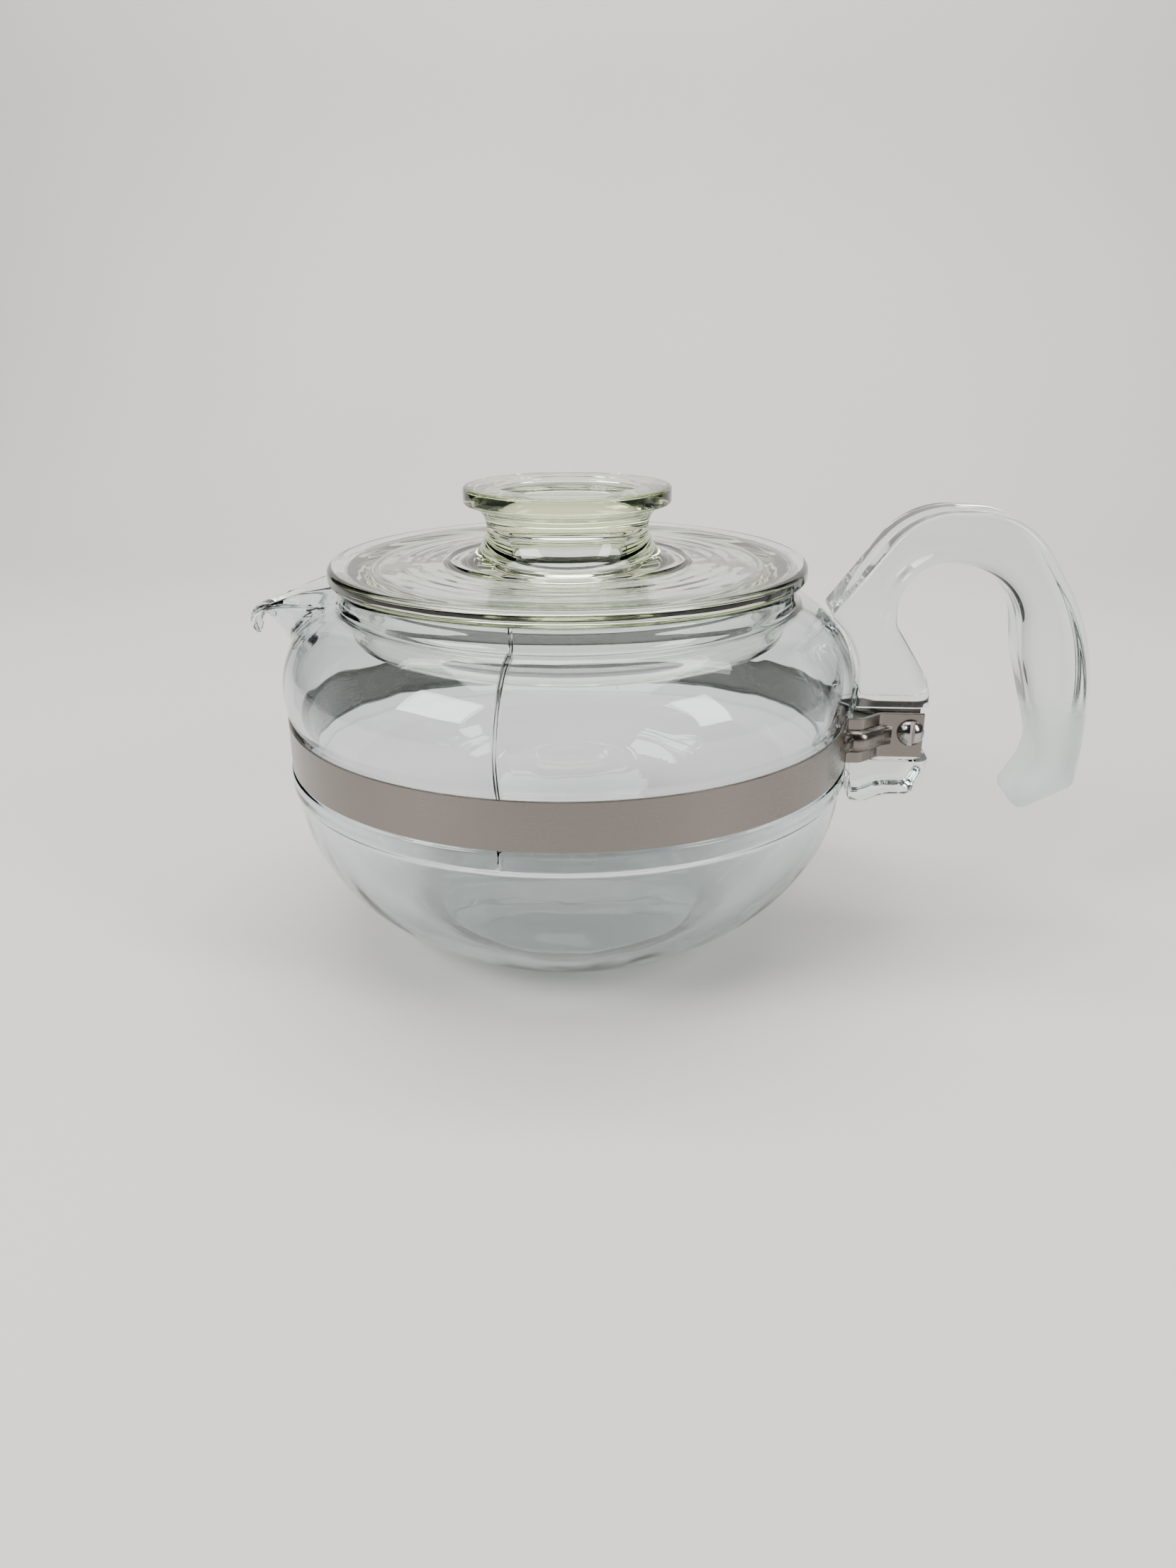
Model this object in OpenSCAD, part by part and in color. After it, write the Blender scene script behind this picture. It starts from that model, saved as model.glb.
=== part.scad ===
// Glass teapot: blown pot with a pulled spout, pressed lid, and a pressed glass handle
// that a steel band holds against the side of the pot. Millimetres, +Z up.
// The origin is the centre of the base. The handle points to +X and the spout to -X.

/* [Pot] */
// Outer radius over the clamp band
pot_r = 76; // [68:0.5:92]
// Radius of the flat base
base_r = 38; // [30:0.5:46]
// Height of the bowl, from the base to the ridge
bowl_h = 45.8; // [38:0.1:56]
// Height of the ridge that carries the band
ridge_h = 5.5; // [4:0.1:8]
// How far the ridge stands out past the band
ridge_out = 0.4; // [0:0.1:1]
// Radius of the shoulder's round
shoulder_round = 22; // [18:0.5:26]
// How far the shoulder stands out past the band
shoulder_out = 0.7; // [0.3:0.1:2]
// Outer radius of the neck
neck_r = 60.6; // [54:0.2:66]
// Height of the neck, from its foot to the rim
neck_h = 4.6; // [4:0.1:9]
// Thickness of the glass wall
wall = 2.6; // [2:0.1:3.4]
// Thickness of the glass base
base_t = 3.6; // [3:0.1:5]
// Depth of the recess under the base
base_recess = 0.8; // [0.3:0.1:1.4]
// Radius of the round at the foot of the neck
neck_fillet = 2.5; // [1:0.5:4]

/* [Spout] */
// Half width of the spout where it leaves the neck
spout_root_w = 13; // [11:0.5:15]
// Half width of the spout at its lip
spout_lip_w = 8.8; // [7:0.2:10]
// Reach of the spout past the band
spout_reach = 12; // [9:0.5:15]
// Thickness of the spout's glass
spout_t = 2.6; // [2:0.1:3]
// Radius of the rolled bead at the tip
spout_bead_r = 2.2; // [1.8:0.1:2.6]

/* [Lid] */
// How far the flange reaches past the neck
lid_over = 2.4; // [1.5:0.1:4]
// Thickness of the flange
lid_t = 4.2; // [3.4:0.1:5.5]
// Length of the collar below the flange
collar_h = 15.5; // [10:0.5:18]
// Thickness of the collar
collar_t = 4.5; // [3:0.1:6]
// Gap between the collar and the neck
collar_gap = 1; // [0.5:0.1:2]
// Height of the flange above the rim
lid_seat_gap = 0.1; // [0.05:0.05:0.3]
// Radius of the knob's disc
knob_r = 27.2; // [22:0.2:32]
// Smallest radius of the knob's stem
stem_r = 21.4; // [19:0.2:23]
// Height of the knob above the flange
knob_h = 18.7; // [15:0.1:24]
// Thickness of the knob's disc at its edge
knob_edge = 4.6; // [3:0.1:6]
// Radius of the dish in the top of the knob
dish_r = 18.5; // [14:0.5:19]
// Depth of the dish
dish_d = 2.4; // [1:0.1:3]
// Radius of the hollow under the knob
hollow_r = 15.7; // [12:0.1:17]

/* [Handle] */
// Reach of the handle past the band
handle_reach = 61.5; // [54:0.5:74]
// Height of the handle's top above the band's lower edge
handle_rise = 65; // [56:0.5:74]
// Thickness of the handle
handle_t = 20; // [17:0.5:23]
// Thickness of the neck between the two ears
tongue_t = 16; // [13:0.5:18]
// Width of the limb that the hand holds
limb_w = 13.4; // [11:0.2:16]
// Depth of the lug below the band
lug_drop = 14; // [10:0.5:18]
// Round on the edges that the fingers touch
grip_round = 4; // [2:0.5:5]
// Round on the outer edges
edge_round = 1.2; // [0.6:0.1:2]
// Round on the edges of the lug and of the outer limb
lug_round = 2.4; // [1.5:0.1:3]
// Gap between the handle and the pot
handle_gap = 0.8; // [0.4:0.1:1.5]

/* [Band] */
// Width of the steel band
band_w = 12.2; // [10:0.1:15]
// Thickness of the steel
band_t = 0.7; // [0.5:0.05:1]
// Gap between the band and the glass
band_gap = 0.15; // [0.1:0.05:0.4]
// Distance from the centre plane at which the band leaves the pot
strap_y = 14.2; // [13:0.1:16]
// Length of an ear, from its bend to its end
ear_l = 11.7; // [10:0.1:14]
// Gap between an ear and the handle
ear_gap = 0.1; // [0.05:0.05:0.3]
// Gap above and below an ear
ear_slack = 1.2; // [0.8:0.1:2]
// Radius of the stiffening bead
bead_r = 2.4; // [1.8:0.1:3]

/* [Screw] */
// Diameter of the screw's shank
screw_d = 4; // [3:0.1:5]
// Diameter of the round head
head_d = 7.2; // [6:0.1:9]
// Height of the round head
head_h = 2.6; // [2:0.1:3.4]
// Distance from the screw to the end of the ear
screw_edge = 3.4; // [3:0.1:5]
// Height of the screw above the middle of the band
screw_rise = 0.8; // [0:0.1:1.5]
// Gap between the shank and the holes in the ears
hole_gap = 0.2; // [0.1:0.05:0.5]
// Gap between the shank and the slot in the glass
slot_gap = 0.5; // [0.3:0.1:1]
// Width of the square nut
nut_w = 7; // [6:0.1:9]
// Thickness of the square nut
nut_t = 3.2; // [2.5:0.1:4]
// Gap between the shank and the bore of the nut
nut_gap = 0.05; // [0.03:0.01:0.2]
// Gap under the head and under the nut
seat_gap = 0.05; // [0.02:0.01:0.15]

/* [Hidden] */
$fn = 96;
eps = 0.01;

// Levels and radii of the pot
band_z = bowl_h + ridge_h;
band_top = band_z + band_w;
band_mid = band_z + band_w / 2;
seat_r = pot_r - band_t - band_gap;
ridge_r = pot_r + ridge_out;
bowl_r = pot_r - 0.6;
foot_r = base_r + 1.5;
bowl_b = bowl_h / sqrt(1 - pow(foot_r / bowl_r, 2));
shoulder_r = pot_r + shoulder_out;
shoulder_x = shoulder_r - shoulder_round;
shoulder_z = band_top + band_gap + sqrt(pow(shoulder_round, 2) - pow(seat_r - shoulder_x, 2));
fillet_z = shoulder_z
    + sqrt(pow(shoulder_round + neck_fillet, 2) - pow(neck_r + neck_fillet - shoulder_x, 2));
neck_foot = shoulder_z + sqrt(pow(shoulder_round, 2) - pow(neck_r - shoulder_x, 2));
rim_z = neck_foot + neck_h + 1;

// Levels of the lid
lid_z = rim_z + lid_seat_gap;
lid_r = neck_r + lid_over;
lid_top = lid_z + lid_t;
collar_r = neck_r - wall - collar_gap;
knob_top = lid_top + knob_h;

// Places of the clamp
ear_in = tongue_t / 2 + ear_gap;
ear_mid = ear_in + band_t / 2;
ear_out = ear_in + band_t;
ear_bend = pot_r + 7.9;
ear_end = ear_bend + ear_l;
screw_x = ear_end - screw_edge;
screw_z = band_mid + screw_rise;
strap_mid = strap_y - band_t / 2;

// Places of the handle
handle_left = ridge_r + handle_gap;
ledge_top = band_top + ear_slack + 0.6;
ledge_bottom = band_z - ear_slack + 0.2;
web_right = ear_end + 2;
tongue_right = screw_x + 2.3;
limb_out = pot_r + handle_reach;
limb_in = limb_out - limb_w;
crest_z = band_z + handle_rise;

// Part of an ellipse or a circle about [cx, cz], from angle a0 to a1 in n steps
function arc_points(cx, cz, rx, rz, a0, a1, n) =
    [for (i = [0:n]) let (a = a0 + (a1 - a0) * i / n) [cx + rx * cos(a), cz + rz * sin(a)]];

function unit(v) = v / norm(v);
function cross2(a, b) = a.x * b.y - a.y * b.x;
function angle_between(a, b) = acos(max(-1, min(1, a * b)));

// Round of radius r at corner p, between the corners before and after it
function corner_arc(before, p, after, r, n) =
    let (d0 = unit(p - before), d1 = unit(after - p), turn = angle_between(d0, d1))
    r <= 0 || turn < 0.5 ? [for (i = [0:n]) p] :
    let (side = sign(cross2(d0, d1)),
         start = p - d0 * r * tan(turn / 2),
         centre = start + side * r * [-d0.y, d0.x])
    [for (i = [0:n]) let (a = side * turn * i / n, v = start - centre)
        centre + [v.x * cos(a) - v.y * sin(a), v.x * sin(a) + v.y * cos(a)]];

// Whether q lies in the triangle a, b, c
function in_triangle(a, b, c, q) =
    cross2(b - a, q - a) >= 0 && cross2(c - b, q - b) >= 0 && cross2(a - c, q - c) >= 0;

// The three corners about the one at place i of the list left
function corner_at(left, i) = let (n = len(left)) [left[(i + n - 1) % n], left[i], left[(i + 1) % n]];

// Whether the corner at place i can be cut off an outline as a triangle
function is_ear(p, left, i) = let (t = corner_at(left, i), a = p[t[0]], b = p[t[1]], c = p[t[2]])
    cross2(b - a, c - b) > 0
    && len([for (k = left) if (k != t[0] && k != t[1] && k != t[2] && in_triangle(a, b, c, p[k])) k]) == 0;

function next_ear(p, left, i) = i >= len(left) - 1 || is_ear(p, left, i) ? i : next_ear(p, left, i + 1);

// Triangles that fill the flat outline p, of which the corners in left are still to be filled
function filled(p, left, done) = len(left) < 4 ? concat(done, [left]) :
    let (i = next_ear(p, left, 0))
    filled(p, [for (k = [0:len(left) - 1]) if (k != i) left[k]], concat(done, [corner_at(left, i)]));

// Faces of a skin through m rings of n points each, with both ends filled by the triangles in ends
function skin_faces(m, n, ends) = concat(
    ends,
    [for (t = ends) [for (k = [2, 1, 0]) (m - 1) * n + t[k]]],
    [for (j = [0:m - 2], i = [0:n - 1]) [j * n + i, (j + 1) * n + i, j * n + (i + 1) % n]],
    [for (j = [0:m - 2], i = [0:n - 1])
        [(j + 1) * n + i, (j + 1) * n + (i + 1) % n, j * n + (i + 1) % n]]);

module skin(rings, ends) {
    n = len(rings[0]);
    polyhedron(points = [for (ring = rings) each ring], faces = skin_faces(len(rings), n, ends),
        convexity = 10);
}

// Triangles that fill an end with no hollow in its outline
function fan(n) = [for (i = [1:n - 2]) [0, i, i + 1]];

// ---- Glass body ----

// Outer outline of the pot, from the centre of the base up to the rim
function pot_outside() = concat(
    [[0, base_recess], [base_r - 4, base_recess], [base_r - 3, 0], [base_r, 0]],
    arc_points(0, bowl_h, bowl_r, bowl_b, -asin((bowl_h - 0.7) / bowl_b), -2, 22),
    [[bowl_r, bowl_h - 0.4], [ridge_r, bowl_h + 0.4], [ridge_r, band_z - 0.8],
     [seat_r, band_z - band_gap]],
    arc_points(shoulder_x, shoulder_z, shoulder_round, shoulder_round,
        -asin((shoulder_z - band_top - band_gap) / shoulder_round),
        atan2(fillet_z - shoulder_z, neck_r + neck_fillet - shoulder_x), 20),
    arc_points(neck_r + neck_fillet, fillet_z, neck_fillet, neck_fillet,
        180 + atan2(fillet_z - shoulder_z, neck_r + neck_fillet - shoulder_x), 180, 4));

// Inner outline, from the top of the rim down to the centre of the base
function pot_inside() = let (inner = shoulder_round - wall, lip = neck_r - wall, bowl = bowl_b - wall)
    concat(
    arc_points(neck_r - wall / 2, rim_z - wall / 2, wall / 2, wall / 2, 90, 180, 4),
    arc_points(shoulder_x, shoulder_z, inner, inner,
        acos((lip - shoulder_x) / inner), -asin((shoulder_z - band_top) / inner), 16),
    arc_points(0, bowl_h, bowl_r - wall, bowl, 0, -asin((bowl_h - base_t - 1) / bowl), 18),
    [[0, base_t]]);

// Stations of the spout: [under side x and z, direction of its top, height of the rim, half width]
spout_x = -(pot_r + spout_reach);
function spout_stations() = [
    [-neck_r - 5.4, rim_z - 28.6, 54, 31, spout_root_w + 1],
    [-shoulder_r + 0.9, shoulder_z + 4.5, 55, 22.5, spout_root_w],
    [spout_x + 9.6, rim_z - 17.6, 58, 16.3, (spout_root_w + spout_lip_w) / 2],
    [spout_x + 7.1, rim_z - 14, 64, 10.8, spout_lip_w + 1],
    [spout_x + 5.1, rim_z - 11.8, 75, 5.2, spout_lip_w + 0.4],
    [spout_x + 4.4, rim_z - 11.6, 95, 4, spout_lip_w],
    [spout_x + 3.4, rim_z - 12.3, 140, 3.3, spout_lip_w - 1],
    [spout_x + 3, rim_z - 13.6, 175, 2.9, spout_lip_w - 2.3],
    [spout_x + 3.2, rim_z - 15.2, 190, 2.8, spout_lip_w - 3.8]];

// One ring of the spout: a round-bottomed trough, raised by t and closed above by extra
function spout_ring(s, t, extra) =
    let (up = [cos(s[2]), sin(s[2])], h = max(s[3] - t, 0.2), w = s[4] - t)
    concat(
        [for (i = [0:16]) let (a = -90 + 180 * i / 16, k = t + h * (1 - cos(a)))
            [s[0] + up.x * k, -w * sin(a), s[1] + up.y * k]],
        extra == 0 ? [] : [for (y = [-w, w])
            [s[0] + up.x * (s[3] + extra), y, s[1] + up.y * (s[3] + extra)]]);

module spout_outside() {
    skin([for (s = spout_stations()) spout_ring(s, 0, 0)], fan(17));
    translate([spout_x + spout_bead_r, 0, rim_z - 16.4]) rotate([90, 0, 0]) {
        cylinder(r = spout_bead_r, h = 2 * (spout_lip_w - 5.4), center = true);
        for (side = [-1, 1]) translate([0, 0, side * (spout_lip_w - 5.4)]) sphere(r = spout_bead_r);
    }
}

module spout_channel() {
    skin([for (s = spout_stations()) spout_ring(s, spout_t, 4 + s[3] * 0.4)], fan(19));
}

module glass_body() {
    color([0.78, 0.88, 0.87, 0.45]) difference() {
        union() {
            rotate_extrude() polygon(concat(pot_outside(),
                arc_points(neck_r - wall / 2, rim_z - wall / 2, wall / 2, wall / 2, 0, 90, 4),
                [[0, rim_z]]));
            spout_outside();
        }
        rotate_extrude()
            polygon(concat([[0, rim_z + 5], [neck_r - wall / 2, rim_z + 5]], pot_inside()));
        spout_channel();
    }
}

// ---- Lid ----

// Top outline of the lid, from the flange's edge in to the centre of the knob
function lid_outside() = concat(
    arc_points(lid_r - 1.2, lid_z + 1.2, 1.2, 1.2, -90, 0, 4),
    arc_points(lid_r - 1.6, lid_top - 1.6, 1.6, 1.6, 0, 90, 4),
    [[collar_r - 4.5, lid_top - 0.1], [collar_r - 6, lid_top - 0.6], [stem_r + 11, lid_top - 0.6],
     [stem_r + 10, lid_top - 0.2]],
    arc_points(stem_r + 7.6, lid_top + 8.7, 7.6, 8.9, -90, -180, 8),
    arc_points(stem_r + 5.6, lid_top + 8.7, 5.6, 5.4, 180, 100, 6),
    arc_points(knob_r - 1, knob_top - knob_edge + 1, 1, 1, -60, 0, 3),
    arc_points(knob_r - 1, knob_top - 1, 1, 1, 0, 90, 4),
    [[dish_r + 1.5, knob_top - 0.1]],
    [for (i = [0:6]) let (k = i / 6)
        [dish_r * (1 - k * k), knob_top - 0.4 - (dish_d - 0.4) * sqrt(1 - pow(1 - k, 2))]]);

// Under side of the lid, from the centre of the hollow out to the flange
function lid_inside() = concat(
    arc_points(0, lid_top + knob_h * 0.32, hollow_r, 4, 90, 0, 8),
    arc_points(hollow_r + 3, lid_z + 3, 3, 3, 180, 270, 5),
    arc_points(collar_r - collar_t - 3, lid_z - 3, 3, 3, 90, 0, 5),
    arc_points(collar_r - collar_t / 2, lid_z - collar_h + collar_t / 2, collar_t / 2, collar_t / 2,
        180, 360, 8),
    [[collar_r, lid_z]]);

module lid() {
    color([0.86, 0.9, 0.78, 0.5]) rotate_extrude() polygon(concat(lid_inside(), lid_outside()));
}

// ---- Handle ----

// Corners of the handle, counterclockwise: [x, z, round of the corner, round of the edge after it]
function handle_corners() = let (left_r = shoulder_round + handle_gap)
    concat(
    [[handle_left - 0.4, band_z - lug_drop + 0.6, 2.5, lug_round],
     [handle_left + 3.6, band_z - lug_drop, 5, lug_round],
     [handle_left + 9, band_z - lug_drop + 2.4, 10, lug_round],
     [web_right - 3, band_z - lug_drop + 2.6, 3.5, grip_round],
     [web_right + 0.5, band_z - 4.4, 6, grip_round],
     [web_right - 1.2, ledge_top + 6, 15, grip_round],
     [pot_r + 10.3, ledge_top + 22, 6, grip_round],
     [pot_r + 10.3, crest_z - limb_w, 12, grip_round],
     [limb_in - 8.3, crest_z - limb_w, 18, grip_round],
     [limb_in - 4.9, band_z + 27, 40, grip_round],
     [limb_in + 3.3, band_z + 0.3, 15, grip_round],
     [limb_in - 7.3, band_z - 18.3, 2.6, lug_round],
     [limb_out - 0.7, band_z - 7.5, 3, lug_round],
     [limb_out, band_z + 3, 30, lug_round],
     [limb_out, crest_z - 32.5, 60, lug_round],
     [limb_out - 20.9, crest_z, 22, edge_round],
     [pot_r + 13, crest_z, 20, edge_round]],
    [for (a = [51:-11:-4]) [shoulder_x + left_r * cos(a), shoulder_z + left_r * sin(a),
        a == 51 ? 1.6 : 0, edge_round]],
    [[handle_left - 0.4, ledge_top, 0, edge_round]]);

// How far an edge of round r is drawn in at a depth below the face
function drawn_in(r, depth) = depth >= r ? 0 : r - sqrt(r * r - pow(r - depth, 2));

// Outline of the handle at a depth below its face
function handle_ring(depth) =
    let (v = handle_corners(), n = len(v),
         p = [for (c = v) [c.x, c.y]],
         d = [for (c = v) drawn_in(c[3], depth)],
         dir = [for (i = [0:n - 1]) unit(p[(i + 1) % n] - p[i])],
         moved = [for (i = [0:n - 1])
             let (j = (i + n - 1) % n,
                  n0 = [-dir[j].y, dir[j].x], n1 = [-dir[i].y, dir[i].x], det = cross2(n0, n1))
             abs(det) < 0.02 ? p[i] + n1 * d[i] :
             p[i] + [d[j] * n1.y - d[i] * n0.y, n0.x * d[i] - n1.x * d[j]] / det])
    [for (i = [0:n - 1])
        let (j = (i + n - 1) % n, bend = cross2(dir[j], dir[i]), pull = (d[i] + d[j]) / 2,
             r = bend > 0 ? max(v[i][2] - pull, 0.05) : v[i][2] + pull,
             steps = v[i][2] < 0.5 ? 0 : ceil(angle_between(dir[j], dir[i]) / (v[i][2] > 8 ? 6.5 : 18)))
        each v[i][2] == 0 || steps == 0 ? [moved[i]] :
            corner_arc(moved[j], moved[i], moved[(i + 1) % n], r, steps)];

module handle() {
    depths = [0, 0.12, 0.45, 1.1, 2.1, grip_round];
    face = handle_ring(0);
    rings = concat(
        [for (e = depths) [for (q = handle_ring(e)) [q.x, handle_t / 2 - e, q.y]]],
        [for (i = [len(depths) - 1:-1:0])
            [for (q = handle_ring(depths[i])) [q.x, depths[i] - handle_t / 2, q.y]]]);
    slot_r = screw_d / 2 + slot_gap;
    cut_t = tongue_t + 2;
    notch = [web_right + 2 - pot_r, 2 * handle_t, ledge_top - ledge_bottom];
    color([0.84, 0.9, 0.9, 0.5]) difference() {
        skin(rings, filled(face, [for (i = [0:len(face) - 1]) i], []));
        for (side = [-1, 1]) translate([pot_r, side * (tongue_t / 2 + handle_t) - handle_t, ledge_bottom])
            cube(notch);
        translate([screw_x, 0, screw_z]) rotate([90, 0, 0])
            cylinder(r = slot_r, h = cut_t, center = true);
        translate([screw_x, -cut_t / 2, screw_z - slot_r]) cube([ear_l, cut_t, 2 * slot_r]);
        translate([tongue_right, -cut_t / 2, ledge_bottom]) cube([ear_l, cut_t, notch.z]);
    }
}

// ---- Band ----

// Centre line of the strap beyond the pot, seen from above, on the side of +Y
strap_path = [
    [sqrt(pow(pot_r - band_t / 2, 2) - pow(strap_mid, 2)), strap_mid],
    [pot_r + 2.4, strap_mid],
    [ear_bend, ear_mid],
    [ear_end, ear_mid]];

// The path with its inner corners rounded, and led a little way back along the pot
function strap_line() = let (p = strap_path) concat(
    [p[0] + [-0.19, 0.98]],
    corner_arc(p[0] + [-0.95, 4.9], p[0], p[1], 1, 4),
    corner_arc(p[0], p[1], p[2], 2, 4),
    corner_arc(p[1], p[2], p[3], 2.5, 4),
    [p[3]]);

// Points of a line moved sideways by d
function beside(line, d) = let (n = len(line)) [for (i = [0:n - 1])
    let (a = unit(line[min(i + 1, n - 1)] - line[max(i - 1, 0)])) line[i] + d * [-a.y, a.x]];

module strap() {
    line = strap_line();
    inside = beside(line, -band_t / 2);
    outside = beside(line, band_t / 2);
    translate([0, 0, band_z]) linear_extrude(band_w)
        polygon(concat(inside, [for (i = [len(line) - 1:-1:0]) outside[i]]));
}

// Line of the stiffening bead along the middle of the strap, from the pot to just past the bend
function bead_line() = let (p = strap_path) concat(
    [p[0] + [0.3, 0]],
    corner_arc(p[0], p[1], p[2], 2, 4),
    corner_arc(p[1], p[2], p[3], 2.5, 4),
    [p[2] + [2.2, 0]]);

// Half-round rib of radius r on the outer face, with a round end, carried inwards by back
module bead(r, back) {
    line = bead_line();
    last = len(line) - 1;
    end_way = unit(line[last] - line[last - 1]);
    stations = concat(
        [for (i = [0:last]) [line[i], unit(line[min(i + 1, last)] - line[max(i - 1, 0)]), r]],
        [for (a = [30, 60, 84]) [line[last] + end_way * r * sin(a), end_way, r * cos(a)]]);
    translate([0, 0, band_mid]) skin([for (q = stations) concat(
        [for (a = [-90:22.5:90])
            [q[0].x - q[1].y * q[2] * cos(a), q[0].y + q[1].x * q[2] * cos(a), q[2] * sin(a)]],
        back == 0 ? [] : [for (k = [1, -1]) [q[0].x + q[1].y * back, q[0].y - q[1].x * back, k * q[2]]])],
        fan(back == 0 ? 9 : 11));
}

module half_band_end() {
    difference() {
        union() {
            strap();
            bead(bead_r, 0);
        }
        bead(bead_r - band_t, band_t);
        translate([screw_x, ear_mid, screw_z]) rotate([90, 0, 0])
            cylinder(r = screw_d / 2 + hole_gap, h = 4, center = true);
    }
}

module clamp_band() {
    color([0.72, 0.7, 0.68]) {
        difference() {
            translate([0, 0, band_z]) cylinder(r = pot_r, h = band_w, $fn = 180);
            translate([0, 0, band_z - 1]) cylinder(r = pot_r - band_t, h = band_w + 2, $fn = 180);
            translate([0, -strap_mid, band_z - 1]) cube([pot_r + 1, 2 * strap_mid, band_w + 2]);
        }
        for (side = [0, 1]) mirror([0, side, 0]) half_band_end();
    }
}

// ---- Screw and nut ----

module clamp_screw() {
    shank_l = 2 * ear_out + nut_t + 2 * seat_gap + 1.6;
    cap_r = (pow(head_d / 2, 2) + pow(head_h - 0.5, 2)) / (2 * (head_h - 0.5));
    color([0.62, 0.6, 0.6]) translate([screw_x, -ear_out - seat_gap, screw_z]) rotate([90, 0, 0])
        difference() {
            union() {
                rotate_extrude() polygon(concat(
                    [[0, 0], [head_d / 2, 0]],
                    arc_points(0, head_h - cap_r, cap_r, cap_r, acos(head_d / 2 / cap_r), 90, 10)));
                translate([0, 0, -shank_l + 0.5]) cylinder(d = screw_d, h = shank_l - 0.5 + eps);
                translate([0, 0, -shank_l]) cylinder(d1 = screw_d - 1, d2 = screw_d, h = 0.5);
            }
            rotate(4) translate([-0.55, -head_d, head_h - 1.2]) cube([1.1, 2 * head_d, 3]);
        }
}

module clamp_nut() {
    color([0.66, 0.64, 0.62]) translate([screw_x, ear_out + seat_gap, screw_z]) rotate([-90, 0, 0])
        difference() {
            translate([-nut_w / 2, -nut_w / 2, 0]) cube([nut_w, nut_w, nut_t]);
            translate([0, 0, -1]) cylinder(r = screw_d / 2 + nut_gap, h = nut_t + 2);
        }
}

glass_body();
lid();
handle();
clamp_band();
clamp_screw();
clamp_nut();
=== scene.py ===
import math

import bpy
import numpy as np
from mathutils import Matrix, Vector


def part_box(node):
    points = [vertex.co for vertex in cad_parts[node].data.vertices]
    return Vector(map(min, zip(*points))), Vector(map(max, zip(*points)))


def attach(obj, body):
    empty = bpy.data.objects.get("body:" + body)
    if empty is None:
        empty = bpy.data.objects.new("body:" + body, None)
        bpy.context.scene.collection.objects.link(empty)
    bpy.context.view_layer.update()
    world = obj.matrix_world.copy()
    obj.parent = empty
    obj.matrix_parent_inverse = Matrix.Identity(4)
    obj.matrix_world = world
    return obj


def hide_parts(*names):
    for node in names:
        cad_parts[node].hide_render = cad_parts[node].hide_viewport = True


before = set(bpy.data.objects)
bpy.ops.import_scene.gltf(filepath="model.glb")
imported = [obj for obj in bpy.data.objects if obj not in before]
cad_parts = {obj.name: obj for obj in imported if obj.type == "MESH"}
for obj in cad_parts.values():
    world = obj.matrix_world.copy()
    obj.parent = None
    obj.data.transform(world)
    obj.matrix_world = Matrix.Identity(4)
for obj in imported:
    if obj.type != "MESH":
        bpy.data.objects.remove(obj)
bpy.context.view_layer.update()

# ---- The glass pot ----
# A blown pot of clear glass. It is spun from one outline: flat base, bowl, ridge, seat of the band, round
# shoulder, neck and rim. The spout is pulled out of the neck's own glass and its tip is rolled to a bead.

# Sizes are in millimetres, and heights are above the table
MM = 0.001
POT_R = 76.0
BASE_R = 38.0
RECESS_H = 0.8
RECESS_FLAT = 12.0
FOOT_RING = 2.0
FOOT_ROUND = 1.0
BOWL_H = 45.8
BOWL_R = 75.4
EDGE_ROUND = 0.5
RIDGE_STEP = 0.9
BAND_Z = 51.3
BAND_TOP = 63.5
RIDGE_R = 76.4
SEAT_R = 75.15
SEAT_STEP = 1.2
SEAT_ROUND = 0.6
SEAT_GAP = 0.15
SHOULDER_ROUND = 22.0
SHOULDER_X = 54.7
NECK_R = 60.6
WALL = 2.6
BASE_T = 3.6
RIM_Z = float(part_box("glass_body")[1].z) / MM
FOOT_R = BASE_R + 1.5
BOWL_B = BOWL_H / math.sqrt(1 - (FOOT_R / BOWL_R) ** 2)
SHOULDER_Z = BAND_TOP + SEAT_GAP + math.sqrt(SHOULDER_ROUND ** 2 - (SEAT_R - SHOULDER_X) ** 2)


def arc(cx, cz, rx, rz, start, end, steps):
    """Points of part of an ellipse about (cx, cz), with angles in degrees."""
    angles = np.radians(np.linspace(start, end, steps + 1))
    return [(cx + rx * math.cos(a), cz + rz * math.sin(a)) for a in angles]


def deg_asin(x):
    return math.degrees(math.asin(x))


def line(a, b, steps):
    """Points from a to b without a itself."""
    return [(a[0] + (b[0] - a[0]) * i / steps, a[1] + (b[1] - a[1]) * i / steps)
            for i in range(1, steps + 1)]


FILLET = 2.5
fillet_x = NECK_R + FILLET
fillet_z = SHOULDER_Z + math.sqrt((SHOULDER_ROUND + FILLET) ** 2 - (fillet_x - SHOULDER_X) ** 2)
fillet_turn = math.degrees(math.atan2(fillet_z - SHOULDER_Z, fillet_x - SHOULDER_X))
shoulder_low = -deg_asin((SHOULDER_Z - BAND_TOP - SEAT_GAP) / SHOULDER_ROUND)
inner_round = SHOULDER_ROUND - WALL
inner_b = BOWL_B - WALL

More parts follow.
